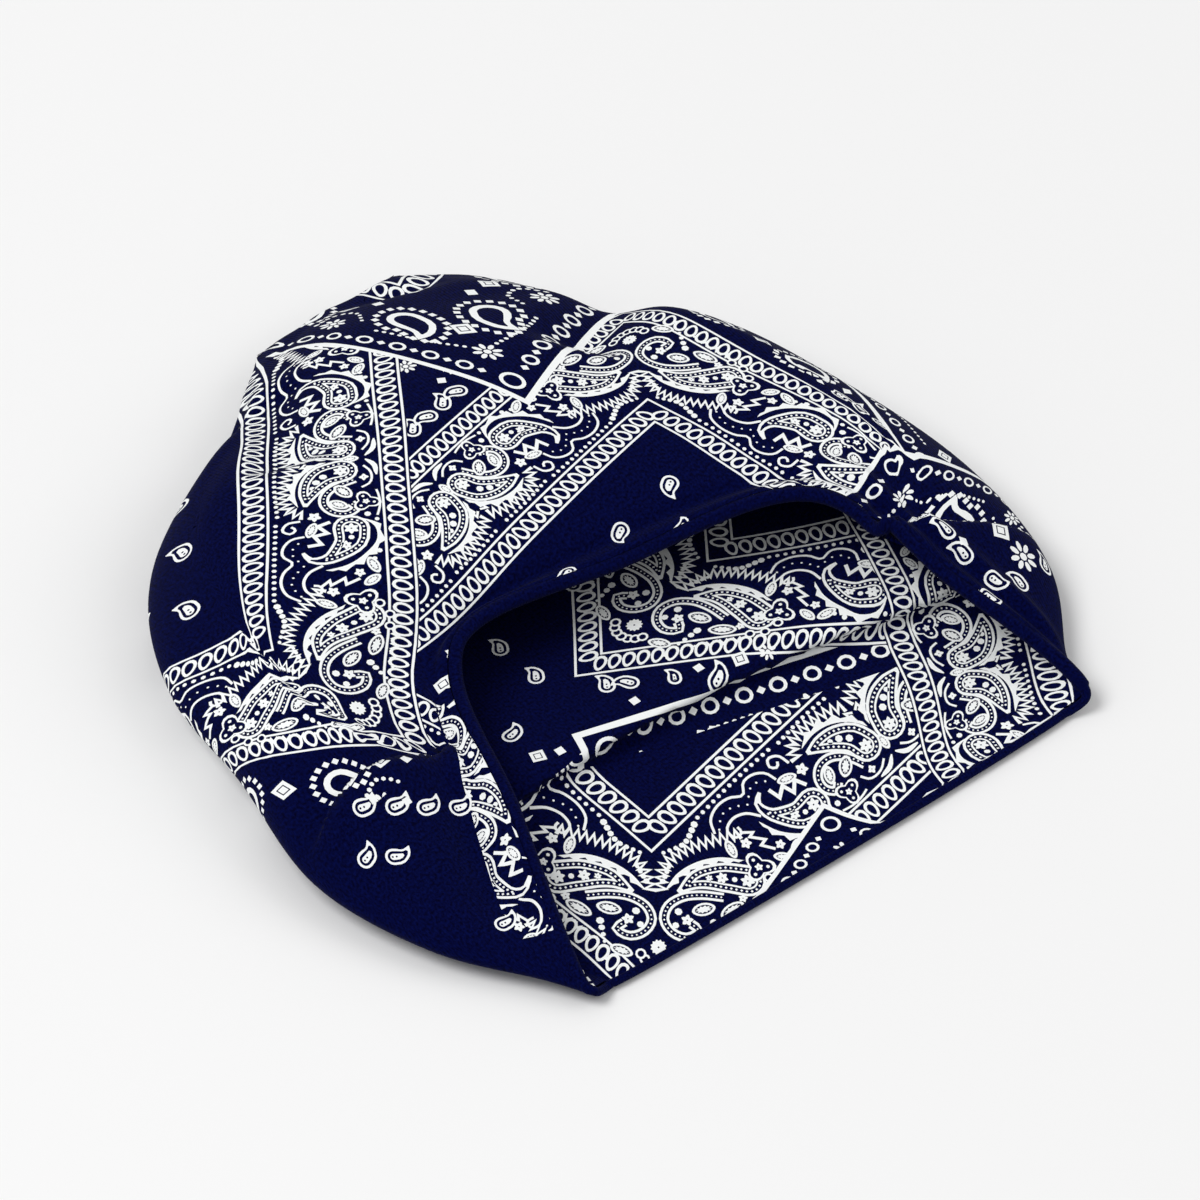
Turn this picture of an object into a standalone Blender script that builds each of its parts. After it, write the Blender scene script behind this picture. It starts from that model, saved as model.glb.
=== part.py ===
"""A slouchy turban hat of two layers of soft cotton jersey, lying on its side with its mouth open.

The hat lies along Y: its mouth faces -Y and its crown +Y. X runs along the lower edge of the
mouth and Z is up. The lower layer rests flat on the surface, and the upper layer stands over it.
The origin is the middle of the hat's bounding box, on the surface.

Pieces
  outer_shell  the outer layer of cloth, a bag from the mouth to the crown
  lining       the inner layer of the same cloth, slack inside the bag
  rim_roll     the rolled edge round the mouth, where the two layers are turned in together
"""

import bpy
import numpy as np

# Named sizes, in metres.
BODY_WIDTH = 0.262
BODY_LENGTH = 0.260
BODY_HEIGHT = 0.046
SHELL_WALL = 0.0012
LINING_WALL = 0.0010
LAYER_GAP = 0.0004
EDGE_GAP = 0.0009
ROLL_THICKNESS = 0.0048

# How finely the cloth is divided: round a loop, and from the mouth to the crown.
COLUMNS = 50
ROWS = 26
FINE_ROWS = 120
ROLL_SIDES = 7
PATH_STEPS = 12
START_TRIALS = 60
START_REACH = 4
EASING_PASSES = 2
LEAST_FACING = 0.5

# Sections of the bag from the mouth (first row) towards the crown.
#   under             how far along the length the lower layer has come
#   over_l, _m, _r    the same for the upper layer, at its left, middle and right
#   left, right       where the side folds lie across the width
#   fold              height of the side folds
#   from_l, from_r    where the raised top begins, across the width
#   rise_l, _m, _r    height of the upper layer there and in the middle
#   bow_l, bow_r      how far the flanks swell out between the side folds and the top
# under and over are shares of BODY_LENGTH, left, right and from of BODY_WIDTH, the rest of
# BODY_HEIGHT.
SECTIONS = (
    # under   over_l  over_m  over_r  left    right  fold   from_l  from_r rise_l rise_m rise_r bow_l  bow_r
    (-0.030, 0.438, 0.419, 0.354, -0.393, 0.378, 0.175, -0.221, 0.252, 0.696, 0.717, 0.783, 0.087, 0.065),
    (0.025, 0.465, 0.450, 0.388, -0.430, 0.390, 0.200, -0.263, 0.290, 0.609, 0.761, 0.761, 0.087, 0.109),
    (0.142, 0.535, 0.527, 0.465, -0.506, 0.452, 0.225, -0.321, 0.321, 0.783, 0.891, 0.783, 0.109, 0.130),
    (0.298, 0.615, 0.615, 0.577, -0.548, 0.460, 0.250, -0.336, 0.305, 0.870, 0.978, 0.804, 0.130, 0.130),
    (0.469, 0.704, 0.708, 0.685, -0.523, 0.431, 0.283, -0.321, 0.282, 0.870, 1.000, 0.804, 0.152, 0.130),
    (0.635, 0.800, 0.800, 0.769, -0.489, 0.378, 0.283, -0.275, 0.229, 0.804, 0.935, 0.761, 0.130, 0.130),
    (0.788, 0.869, 0.892, 0.854, -0.385, 0.282, 0.261, -0.198, 0.168, 0.674, 0.783, 0.652, 0.130, 0.109),
    (0.896, 0.918, 0.945, 0.918, -0.195, 0.223, 0.239, -0.130, 0.134, 0.565, 0.609, 0.565, 0.065, 0.065),
    (0.945, 0.950, 0.975, 0.950, -0.135, 0.180, 0.250, -0.085, 0.100, 0.430, 0.440, 0.430, 0.070, 0.070),
)

# The line where the two layers meet at the crown: its two ends across the width, how far it lies
# along the length there and in its middle, and its height.
#        left    right  ends   middle rise
CROWN = (-0.090, 0.128, 0.972, 0.990, 0.272)

# Where the points of a section lie round its loop, as shares of one turn: right fold, right
# flank, right top, middle top, left top, left flank, left fold, lower left, lower middle, lower
# right. A fold rolls under by this share of its height.
STATIONS = np.array([0, 0.08, 0.16, 0.25, 0.34, 0.42, 0.5, 0.565, 0.75, 0.935])
FOLD_ROLL = 1.3
FLANK_SPREAD = 0.6
SIDE_LAG = 0.012

# Folds pressed into a layer, each along a slightly bowed line seen from above.
#   layer             the layer that it shapes
#   x0, y0, x1, y1    the line's two ends, as shares of BODY_WIDTH and BODY_LENGTH
#   bend              how far the line bows sideways, as a share of BODY_WIDTH
#   reach             half the fold's width, as a share of BODY_WIDTH
#   depth             its height, or its depth if below zero, as a share of BODY_HEIGHT
#   step              1 where the cloth on the line's right overlies the rest, 0 for a plain dent
FOLDS = (
    # layer       x0      y0      x1      y1     bend   reach  depth  step
    ("upper", -0.535, 0.315, -0.330, 0.325, -0.030, 0.060, 0.100, 1),
    ("upper", 0.290, 0.275, 0.470, 0.195, 0.010, 0.045, 0.090, 1),
    ("upper", -0.160, 0.890, -0.210, 0.780, 0.000, 0.045, -0.140, 0),
    ("upper", 0.290, 0.790, 0.170, 0.730, 0.000, 0.050, -0.120, 0),
    ("upper", -0.265, 0.400, -0.425, 0.080, 0.000, 0.030, -0.120, 0),
    ("floor", 0.300, 0.205, -0.250, 0.262, 0.020, 0.200, 0.200, 1),
)
STEP_WIDTH = 0.0025
STEP_SINK = 0.5
END_FADE = 0.25

NAVY = (0.006, 0.012, 0.075, 1.0)
SHADE_NAVY = (0.005, 0.010, 0.060, 1.0)
ROLL_NAVY = (0.007, 0.014, 0.085, 1.0)


def spline(values, knots, places):
    """Rows of values at knots, run smoothly through them and read at places."""
    width = np.diff(knots)
    slope = np.diff(values, axis=0) / width[:, None]
    tangent = np.empty_like(values)
    tangent[0], tangent[-1] = slope[0], slope[-1]
    before, after = width[:-1, None], width[1:, None]
    tangent[1:-1] = (slope[:-1] * after + slope[1:] * before) / (before + after)
    at = np.clip(np.searchsorted(knots, places, side="right") - 1, 0, len(width) - 1)
    gap = width[at][:, None]
    u = ((places - knots[at]) / width[at])[:, None]
    return (
        (2 * u**3 - 3 * u**2 + 1) * values[at]
        + (u**3 - 2 * u**2 + u) * gap * tangent[at]
        + (3 * u**2 - 2 * u**3) * values[at + 1]
        + (u**3 - u**2) * gap * tangent[at + 1]
    )


def section_loop(section, columns):
    """One section's closed loop, from the right fold over the top to the left fold and back under."""
    under, over_l, over_m, over_r, left, right, fold, from_l, from_r = section[:9]
    rise_l, rise_m, rise_r, bow_l, bow_r = section[9:]
    roll = FOLD_ROLL * fold * BODY_HEIGHT / BODY_WIDTH
    spread = FLANK_SPREAD * BODY_HEIGHT / BODY_WIDTH
    side = under + SIDE_LAG
    right_fold, right_top = np.array((right, side, fold)), np.array((from_r, over_r, rise_r))
    left_fold, left_top = np.array((left, side, fold)), np.array((from_l, over_l, rise_l))
    points = np.array(
        (
            right_fold,
            (right_fold + right_top) / 2 + (spread * bow_r, 0, bow_r),
            right_top,
            ((from_l + from_r) / 2, over_m, rise_m),
            left_top,
            (left_fold + left_top) / 2 + (-spread * bow_l, 0, bow_l),
            left_fold,
            (left + roll, (under + side) / 2, 0),
            ((left + right) / 2, under, 0),
            (right - roll, (under + side) / 2, 0),
        )
    )
    knots = np.concatenate((STATIONS[-2:] - 1, STATIONS, STATIONS[:2] + 1))
    turn = np.arange(columns) / columns
    return spline(np.concatenate((points[-2:], points, points[:2])), knots, turn)


def crown_loop(columns):
    """The crown's line as a loop that runs along it and back."""
    left, right, ends, middle, rise = CROWN
    turn = np.arange(columns) / columns
    across = 1 - 2 * abs(1 - 2 * turn)
    reach = middle - (middle - ends) * across**2
    half = (right - left) / 2
    return np.stack(((left + right) / 2 - half * across, reach, np.full(columns, rise)), axis=1)


def bag(columns, rows):
    """The bag's surface as rows of loops, in metres, with the layers meeting at the crown."""
    loops = [section_loop(section, columns) for section in SECTIONS]
    mate = -np.arange(columns) % columns
    beyond = loops[-1][mate]
    stack = np.array(loops + [crown_loop(columns), beyond]).reshape(len(loops) + 2, -1)
    along = np.linspace(0, len(loops), rows)
    surface = spline(stack, np.arange(len(stack), dtype=float), along)
    surface = surface.reshape(rows, columns, 3) * (BODY_WIDTH, BODY_LENGTH, BODY_HEIGHT)
    surface[..., 2] = np.maximum(surface[..., 2], 0)
    return surface


def distances_along(surface):
    """How far each point lies from the mouth, measured along the cloth."""
    steps = np.linalg.norm(np.diff(surface, axis=0), axis=2)
    return np.concatenate((np.zeros((1, surface.shape[1])), np.cumsum(steps, axis=0)))


def read_at(values, distance, places):
    """Rows of values read at other distances from the mouth, column by column."""
    result = np.empty((len(places), values.shape[1], 3))
    for column in range(values.shape[1]):
        for axis in range(3):
            known = values[:, column, axis]
            result[:, column, axis] = np.interp(places[:, column], distance[:, column], known)
    return result


def clear_starts(surface, path, stack, clear):
    """How far from the mouth each column begins, so that the wall keeps clear of the rolled edge."""
    distance = distances_along(surface)
    count = len(path)
    share = np.linspace(0, 1, PATH_STEPS, endpoint=False)[:, None, None]
    beads = (path * (1 - share) + np.roll(path, -1, axis=0) * share).reshape(-1, 3)
    trial = np.linspace(clear / 2, START_REACH * clear, START_TRIALS)[:, None] * np.ones(count)
    outside = read_at(surface, distance, trial)
    inside = read_at(moved_in(surface, stack), distance, trial)
    starts = trial[-1].copy()
    for points in (outside, (outside + inside) / 2, inside):
        between = (points + np.roll(points, -1, axis=1)) / 2
        near = np.linalg.norm(points[:, :, None] - beads, axis=3).min(axis=2) < clear
        near_between = np.linalg.norm(between[:, :, None] - beads, axis=3).min(axis=2) < clear
        near = near | near_between | np.roll(near_between, 1, axis=1)
        last_near = START_TRIALS - 1 - near[::-1].argmax(axis=0)
        found = np.where(near.any(axis=0), np.minimum(last_near + 1, START_TRIALS - 1), 0)
        begins = trial[found, np.arange(count)]
        starts = begins if points is outside else np.maximum(starts, begins)
    return starts


def laid_out(surface, starts, rows):
    """The surface on evenly spaced loops that begin these distances from the mouth."""
    distance = distances_along(surface)
    return read_at(surface, distance, np.linspace(starts, distance[-1], rows))


def smooth_step(value):
    value = np.clip(value, 0, 1)
    return value * value * (3 - 2 * value)


def layer_share(layer, columns):
    """How much each column of a loop belongs to the upper layer or to the floor of the bag."""
    turn = np.arange(columns) / columns
    if layer == "upper":
        return smooth_step((0.25 - abs(turn - 0.25)) / 0.06)
    return smooth_step((0.25 - abs(turn - 0.75)) / 0.05)


def fold_height(surface, fold):
    """How far one fold lifts each point of the surface."""
    layer, x0, y0, x1, y1, bend, reach, depth, step = fold
    start = np.array((x0 * BODY_WIDTH, y0 * BODY_LENGTH))
    line = np.array((x1 * BODY_WIDTH, y1 * BODY_LENGTH)) - start
    length = np.hypot(*line)
    line = line / length
    away = surface[..., :2] - start
    along = away @ line / length
    across = away @ np.array((line[1], -line[0]))
    bow = 4 * bend * BODY_WIDTH * along * (1 - along)
    across = across - bow * ((along > 0) & (along < 1))
    swell = np.exp(-((across / (reach * BODY_WIDTH)) ** 2))
    fade = smooth_step(along / END_FADE + 1) * smooth_step((1 - along) / END_FADE + 1)
    if step:
        side = np.tanh(across / STEP_WIDTH)
        sink = STEP_SINK if layer == "upper" else 0
        swell = swell * ((1 + side) / 2 - sink * (1 - side) / 2)
    share = layer_share(layer, surface.shape[1])
    return depth * BODY_HEIGHT * swell * fade * share


def folded(surface, layers):
    lift = sum(fold_height(surface, fold) for fold in FOLDS if fold[0] in layers)
    result = surface.copy()
    result[..., 2] = np.maximum(surface[..., 2] + lift, 0)
    return result


def bag_faces(columns, rows):
    """Triangles of a bag whose loops are numbered row by row, with the last loop zipped to itself."""
    faces = []
    for row in range(rows - 1):
        for column in range(columns):
            after = (column + 1) % columns
            near, near_after = row * columns + column, row * columns + after
            if row == rows - 2:
                far, far_after = (zipped(c, columns, rows) for c in (column, after))
            else:
                far, far_after = near + columns, near_after + columns
            faces += [(near, near_after, far_after), (near, far_after, far)]
    return [face for face in faces if len(set(face)) == 3]


def zipped(column, columns, rows):
    """The crown point that a column shares with the opposite column of the other layer."""
    return (rows - 1) * columns + min(column, columns - column)


def normals_of(surface):
    """Smooth outward normals of a bag, row by row."""
    rows, columns, _ = surface.shape
    flat = surface.reshape(-1, 3)
    faces = np.array(bag_faces(columns, rows))
    first, second, third = (flat[faces[:, k]] for k in range(3))
    across = np.cross(third - first, second - first)
    total = np.zeros_like(flat)
    for k in range(3):
        np.add.at(total, faces[:, k], across)
    last = [zipped(column, columns, rows) for column in range(columns)]
    total[-columns:] = total[last]
    length = np.linalg.norm(total, axis=1)[:, None]
    return (total / np.maximum(length, 1e-12)).reshape(rows, columns, 3)


def moved_in(surface, distance):
    """The surface moved inwards by one distance, rounding off the inside of its tight corners."""
    normals = normals_of(surface)
    eased = normals
    for _ in range(EASING_PASSES):
        eased = eased + np.roll(eased, 1, axis=1) + np.roll(eased, -1, axis=1)
        eased = eased + np.concatenate((eased[:1], eased[:-1])) + np.concatenate((eased[1:], eased[-1:]))
        eased = eased / np.linalg.norm(eased, axis=2)[..., None]
    facing = np.maximum((eased * normals).sum(axis=2), LEAST_FACING)[..., None]
    return surface - distance * eased / facing


def node(name, points, faces, colour):
    mesh = bpy.data.meshes.new(name)
    mesh.from_pydata([tuple(point) for point in points], [], faces)
    material = bpy.data.materials.new(name + "_cloth")
    material.use_nodes = True
    shader = material.node_tree.nodes["Principled BSDF"]
    shader.inputs["Base Color"].default_value = colour
    shader.inputs["Roughness"].default_value = 0.85
    material.diffuse_color = colour
    mesh.materials.append(material)
    mesh.validate()
    made = bpy.data.objects.new(name, mesh)
    bpy.context.scene.collection.objects.link(made)
    return made


def cloth_bag(name, outside, wall, colour):
    """A closed wall of cloth: the outside surface, the inside one and the strip round the mouth."""
    rows, columns, _ = outside.shape
    inside = moved_in(outside, wall)
    faces = bag_faces(columns, rows)
    half = columns // 2
    kept = list(range((rows - 1) * columns + half + 1))
    shift = len(kept)
    outer = faces
    inner = [[index + shift for index in reversed(face)] for face in faces]
    edge = []
    for column in range(columns):
        following = (column + 1) % columns
        edge.append([following, column, column + shift, following + shift])
    points = np.concatenate((outside.reshape(-1, 3)[kept], inside.reshape(-1, 3)[kept]))
    return node(name, points, outer + inner + edge, colour)


def rolled_edge(name, path, outward, thickness, colour):
    """A tube with a round section along a closed path, flat against the surface below."""
    count = len(path)
    radius = thickness / 2
    ahead = np.roll(path, -1, axis=0) - np.roll(path, 1, axis=0)
    ahead = ahead / np.linalg.norm(ahead, axis=1)[:, None]
    side = outward - ahead * (outward * ahead).sum(axis=1)[:, None]
    side = side / np.linalg.norm(side, axis=1)[:, None]
    up = np.cross(ahead, side)
    turn = 2 * np.pi * np.arange(ROLL_SIDES) / ROLL_SIDES
    ring = side[:, None] * np.cos(turn)[None, :, None] + up[:, None] * np.sin(turn)[None, :, None]
    points = path[:, None] + radius * ring
    points[..., 2] = np.maximum(points[..., 2], 0)
    faces = []
    for i in range(count):
        for j in range(ROLL_SIDES):
            k, m = (i + 1) % count, (j + 1) % ROLL_SIDES
            faces.append([i * ROLL_SIDES + j, k * ROLL_SIDES + j, k * ROLL_SIDES + m, i * ROLL_SIDES + m])
    return node(name, points.reshape(-1, 3), faces, colour)


def turned_out(item):
    """Makes the faces of a closed solid point outwards."""
    mesh = item.data
    total = 0.0
    for polygon in mesh.polygons:
        corners = [mesh.vertices[index].co for index in polygon.vertices]
        for second, third in zip(corners[1:-1], corners[2:]):
            total += corners[0].dot(second.cross(third))
    if total < 0:
        mesh.flip_normals()


def main():
    for item in list(bpy.data.objects):
        bpy.data.objects.remove(item, do_unlink=True)

    stack = SHELL_WALL + LAYER_GAP + LINING_WALL
    fine = folded(bag(COLUMNS, FINE_ROWS), ("upper",))
    path = fine[0] - stack / 2 * normals_of(fine)[0]
    path[:, 2] = np.maximum(path[:, 2], ROLL_THICKNESS / 2)
    rolled_edge("rim_roll", path, fine[0] - fine[2], ROLL_THICKNESS, ROLL_NAVY)

    starts = clear_starts(fine, path, stack, ROLL_THICKNESS / 2 + EDGE_GAP)
    shell_surface = laid_out(fine, starts, ROWS)
    cloth_bag("outer_shell", shell_surface, SHELL_WALL, NAVY)

    lining_surface = folded(moved_in(shell_surface, SHELL_WALL + LAYER_GAP), ("floor",))
    cloth_bag("lining", lining_surface, LINING_WALL, SHADE_NAVY)

    pieces = list(bpy.data.objects)
    for item in pieces:
        turned_out(item)
    corners = np.array([vertex.co for item in pieces for vertex in item.data.vertices])
    low, high = corners.min(axis=0), corners.max(axis=0)
    middle = np.array(((low[0] + high[0]) / 2, (low[1] + high[1]) / 2, low[2]))
    for item in pieces:
        for vertex in item.data.vertices:
            vertex.co = np.array(vertex.co) - middle


main()
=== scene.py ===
"""A slouchy turban hat of double cotton jersey, printed all over with bandana squares.

It lies on its side with its mouth open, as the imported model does: the mouth faces -Y, the crown
+Y, and Z is up. Two sheets of printed jersey and the rolled edge between them stand for the three
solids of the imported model. The print is cut into the cloth, white ink and navy ground.
"""

import bpy
import numpy as np
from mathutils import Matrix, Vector
from mathutils.bvhtree import BVHTree
from mathutils.geometry import delaunay_2d_cdt


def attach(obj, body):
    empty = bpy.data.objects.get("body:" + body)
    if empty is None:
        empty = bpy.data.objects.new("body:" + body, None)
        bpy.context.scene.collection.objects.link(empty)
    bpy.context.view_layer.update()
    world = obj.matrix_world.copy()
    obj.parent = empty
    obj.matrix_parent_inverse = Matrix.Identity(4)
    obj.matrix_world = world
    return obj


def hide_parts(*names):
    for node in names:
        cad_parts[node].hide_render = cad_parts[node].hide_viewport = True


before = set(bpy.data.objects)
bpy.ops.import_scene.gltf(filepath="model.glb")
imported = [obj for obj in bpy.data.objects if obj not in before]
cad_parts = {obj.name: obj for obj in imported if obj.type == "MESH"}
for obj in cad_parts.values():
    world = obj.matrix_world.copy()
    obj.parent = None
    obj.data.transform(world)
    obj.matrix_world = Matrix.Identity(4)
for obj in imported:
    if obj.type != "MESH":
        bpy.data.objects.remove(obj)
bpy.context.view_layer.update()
bpy.ops.object.select_all(action="DESELECT")
scene = bpy.context.scene

# The hat's own sizes, in metres.
BODY_WIDTH = 0.262
BODY_LENGTH = 0.260
BODY_HEIGHT = 0.046
SHELL_WALL = 0.0012
LINING_WALL = 0.0010
LAYER_GAP = 0.0004
ROLL_THICKNESS = 0.0048
PLAN_MIDDLE = (-0.01126, 0.12360, 0.0)

# The grid that the cloth is worked out on: columns round the bag, and rows from the mouth to the
# crown, before and after they are spaced evenly. TURN is where each column lies on a loop, MATE is
# the column that it meets at the crown.
COLUMNS = 320
FINE_ROWS = 260
ROWS = 180
TURN = np.arange(COLUMNS) / COLUMNS
MATE = -np.arange(COLUMNS) % COLUMNS
UPPER_MIDDLE = 0.25
FLOOR_MIDDLE = 0.75
# How often the normals and the flat map are evened out, and the most that a tight corner may
# stretch the step from one layer to the next (as the least cosine).
EASING_PASSES = 10
MAP_PASSES = 200
LEAST_FACING = 0.5
# How sharply the cloth turns where the cut mesh keeps every point, and how near its points may
# come to each other, in steps of the grid.
SHARP_TURN = 0.006
CUT_CLOSENESS = 1e-4

# Sections of the bag from the mouth towards the crown: how far along the length the lower and the
# upper layer have come, where the side folds lie, their height, where the raised top begins, its
# height, and how far the flanks swell. Shares of BODY_LENGTH, BODY_WIDTH and BODY_HEIGHT.
SECTIONS = (
    # under   over_l  over_m  over_r  left    right  fold   from_l  from_r rise_l rise_m rise_r bow_l  bow_r
    (-0.026, 0.438, 0.419, 0.354, -0.385, 0.374, 0.175, -0.221, 0.252, 0.696, 0.717, 0.783, 0.087, 0.065),
    (0.027, 0.465, 0.450, 0.388, -0.420, 0.385, 0.200, -0.263, 0.290, 0.609, 0.761, 0.761, 0.087, 0.109),
    (0.142, 0.535, 0.527, 0.465, -0.497, 0.453, 0.225, -0.321, 0.321, 0.783, 0.891, 0.783, 0.109, 0.130),
    (0.298, 0.615, 0.615, 0.577, -0.540, 0.470, 0.250, -0.336, 0.305, 0.870, 0.978, 0.804, 0.130, 0.130),
    (0.469, 0.704, 0.708, 0.685, -0.513, 0.435, 0.283, -0.321, 0.282, 0.870, 1.000, 0.804, 0.152, 0.130),
    (0.635, 0.800, 0.800, 0.769, -0.490, 0.390, 0.283, -0.275, 0.229, 0.804, 0.935, 0.761, 0.130, 0.130),
    (0.788, 0.869, 0.892, 0.854, -0.393, 0.282, 0.261, -0.198, 0.168, 0.674, 0.783, 0.652, 0.130, 0.109),
    (0.896, 0.918, 0.945, 0.918, -0.195, 0.223, 0.239, -0.130, 0.134, 0.600, 0.609, 0.565, 0.065, 0.065),
    (0.945, 0.955, 0.980, 0.950, -0.130, 0.180, 0.250, -0.085, 0.100, 0.500, 0.440, 0.430, 0.070, 0.070),
)
CROWN = (-0.080, 0.128, 1.000, 1.000, 0.300)
STATIONS = np.array([0, 0.08, 0.16, 0.25, 0.34, 0.42, 0.5, 0.565, 0.75, 0.935])
FOLD_ROLL = 1.3
FLANK_SPREAD = 0.6
SIDE_LAG = 0.012

# Folds and creases pressed into the cloth: the line's two ends as shares of BODY_WIDTH and
# BODY_LENGTH, how far it bows, half the fold's width (both shares of BODY_WIDTH), its height as a
# share of BODY_HEIGHT, and the overhang of a tuck's lip in metres, zero for a plain dent.
FOLDS = (
    # layer      x0      y0      x1      y1     bend    reach  height  lip
    ("upper", -0.535, 0.315, -0.330, 0.325, -0.030, 0.045, 0.100, 0.0026),
    ("upper", 0.290, 0.275, 0.470, 0.195, 0.010, 0.045, 0.090, 0.0022),
    ("upper", -0.160, 0.890, -0.210, 0.780, 0.000, 0.045, -0.140, 0.0),
    ("upper", 0.310, 0.790, 0.190, 0.710, 0.000, 0.050, -0.190, 0.0),
    ("upper", -0.265, 0.400, -0.400, 0.140, 0.000, 0.032, -0.080, 0.0),
    ("floor", 0.300, 0.205, -0.250, 0.262, 0.020, 0.200, 0.200, 0.0030),
)
STEP_WIDTH = 0.0025
STEP_SINK = 0.5
END_FADE = 0.25


def spline(values, knots, places):
    """Rows of values at knots, run smoothly through them and read at places."""
    width = np.diff(knots)
    slope = np.diff(values, axis=0) / width[:, None]
    tangent = np.empty_like(values)
    tangent[0], tangent[-1] = slope[0], slope[-1]
    before, after = width[:-1, None], width[1:, None]
    tangent[1:-1] = (slope[:-1] * after + slope[1:] * before) / (before + after)
    at = np.clip(np.searchsorted(knots, places, side="right") - 1, 0, len(width) - 1)
    gap = width[at][:, None]
    u = ((places - knots[at]) / width[at])[:, None]
    return (
        (2 * u**3 - 3 * u**2 + 1) * values[at]
        + (u**3 - 2 * u**2 + u) * gap * tangent[at]
        + (3 * u**2 - 2 * u**3) * values[at + 1]
        + (u**3 - u**2) * gap * tangent[at + 1]
    )


def section_loop(section):
    """One section's closed loop, from the right fold over the top to the left fold and back under."""
    under, over_l, over_m, over_r, left, right, fold, from_l, from_r = section[:9]
    rise_l, rise_m, rise_r, bow_l, bow_r = section[9:]
    roll = FOLD_ROLL * fold * BODY_HEIGHT / BODY_WIDTH
    spread = FLANK_SPREAD * BODY_HEIGHT / BODY_WIDTH
    side = under + SIDE_LAG
    right_fold, right_top = np.array((right, side, fold)), np.array((from_r, over_r, rise_r))
    left_fold, left_top = np.array((left, side, fold)), np.array((from_l, over_l, rise_l))
    points = np.array(
        (
            right_fold,
            (right_fold + right_top) / 2 + (spread * bow_r, 0, bow_r),
            right_top,
            ((from_l + from_r) / 2, over_m, rise_m),
            left_top,
            (left_fold + left_top) / 2 + (-spread * bow_l, 0, bow_l),
            left_fold,
            (left + roll, (under + side) / 2, 0),
            ((left + right) / 2, under, 0),
            (right - roll, (under + side) / 2, 0),
        )
    )
    knots = np.concatenate((STATIONS[-2:] - 1, STATIONS, STATIONS[:2] + 1))
    return spline(np.concatenate((points[-2:], points, points[:2])), knots, TURN)


def crown_loop():
    """The crown's line as a loop that runs along it and back."""
    left, right, ends, middle, rise = CROWN
    across = 1 - 2 * abs(1 - 2 * TURN)
    reach = middle - (middle - ends) * across**2
    half = (right - left) / 2
    return np.stack(((left + right) / 2 - half * across, reach, np.full(COLUMNS, rise)), axis=1)


def bag():
    """The bag's surface as rows of loops, with the layers meeting at the crown."""
    loops = [section_loop(section) for section in SECTIONS]
    beyond = loops[-1][MATE]
    stack = np.array(loops + [crown_loop(), beyond]).reshape(len(loops) + 2, -1)
    along = np.linspace(0, len(loops), FINE_ROWS)
    surface = spline(stack, np.arange(len(stack), dtype=float), along)
    surface = surface.reshape(FINE_ROWS, COLUMNS, 3) * (BODY_WIDTH, BODY_LENGTH, BODY_HEIGHT)
    surface[..., 2] = np.maximum(surface[..., 2], 0)
    return surface


def smooth_step(value):
    """Zero below 0, one above 1, and a smooth rise between."""
    value = np.clip(value, 0, 1)
    return value * value * (3 - 2 * value)


def layer_share(layer):
    """How much each column of a loop belongs to the upper layer or to the floor of the bag."""
    middle, fade = (UPPER_MIDDLE, 0.06) if layer == "upper" else (FLOOR_MIDDLE, 0.05)
    return smooth_step((0.25 - abs(TURN - middle)) / fade)


def fold_move(surface, fold):
    """How far one fold moves each point of the surface."""
    layer, x0, y0, x1, y1, bend, reach, height, lip = fold
    start = np.array((x0 * BODY_WIDTH, y0 * BODY_LENGTH))
    line = np.array((x1 * BODY_WIDTH, y1 * BODY_LENGTH)) - start
    length = np.hypot(*line)
    line = line / length
    side = np.array((line[1], -line[0]))
    away = surface[..., :2] - start
    along = away @ line / length
    bow = 4 * bend * BODY_WIDTH * along * (1 - along)
    across = away @ side - bow * ((along > 0) & (along < 1))
    swell = np.exp(-((across / (reach * BODY_WIDTH)) ** 2))
    fade = smooth_step(along / END_FADE + 1) * smooth_step((1 - along) / END_FADE + 1)
    fade = fade * layer_share(layer)
    move = np.zeros_like(surface)
    if lip:
        over = np.tanh(across / STEP_WIDTH)
        sink = STEP_SINK if layer == "upper" else 0
        swell = swell * ((1 + over) / 2 - sink * (1 - over) / 2)
        near = np.exp(-(((abs(across) - STEP_WIDTH) / STEP_WIDTH) ** 2)) * np.sign(across)
        move[..., :2] = -(lip * near * fade)[..., None] * side
    move[..., 2] = height * BODY_HEIGHT * swell * fade
    return move


def folded(surface, layer):
    """The surface with the folds of one layer pressed in, and nothing under the floor."""
    result = surface + sum(fold_move(surface, fold) for fold in FOLDS if fold[0] == layer)
    result[..., 2] = np.maximum(result[..., 2], 0)
    return result


def distances_along(surface):
    """How far each point lies from the mouth, measured along the cloth."""
    steps = np.linalg.norm(np.diff(surface, axis=0), axis=2)
    return np.concatenate((np.zeros((1, COLUMNS)), np.cumsum(steps, axis=0)))


# Ridges and grooves that run beside the mouth's edge: the part of the loop, how far from the edge,
# half the width and the height, in metres.
RIM_RIDGES = (
    # from   to    away    half    height
    (0.01, 0.49, 0.0026, 0.0024, 0.0013),
    (0.01, 0.49, 0.0080, 0.0024, -0.0014),
    (0.00, 0.18, 0.0135, 0.0038, 0.0022),
    (0.33, 0.47, 0.0090, 0.0060, 0.0036),
)
RIDGE_FADE = 0.035


def with_rim_ridges(surface):
    """The surface with the rolled hem and the folds that lie beside the mouth's edge."""
    distance = distances_along(surface)
    raised = np.zeros_like(distance)
    for begin, end, away, half, height in RIM_RIDGES:
        share = smooth_step((TURN - begin) / RIDGE_FADE) * smooth_step((end - TURN) / RIDGE_FADE)
        raised += height * share * np.exp(-(((distance - away) / half) ** 2))
    result = surface + raised[..., None] * normals_of(surface)
    result[..., 2] = np.maximum(result[..., 2], 0)
    return result


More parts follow.
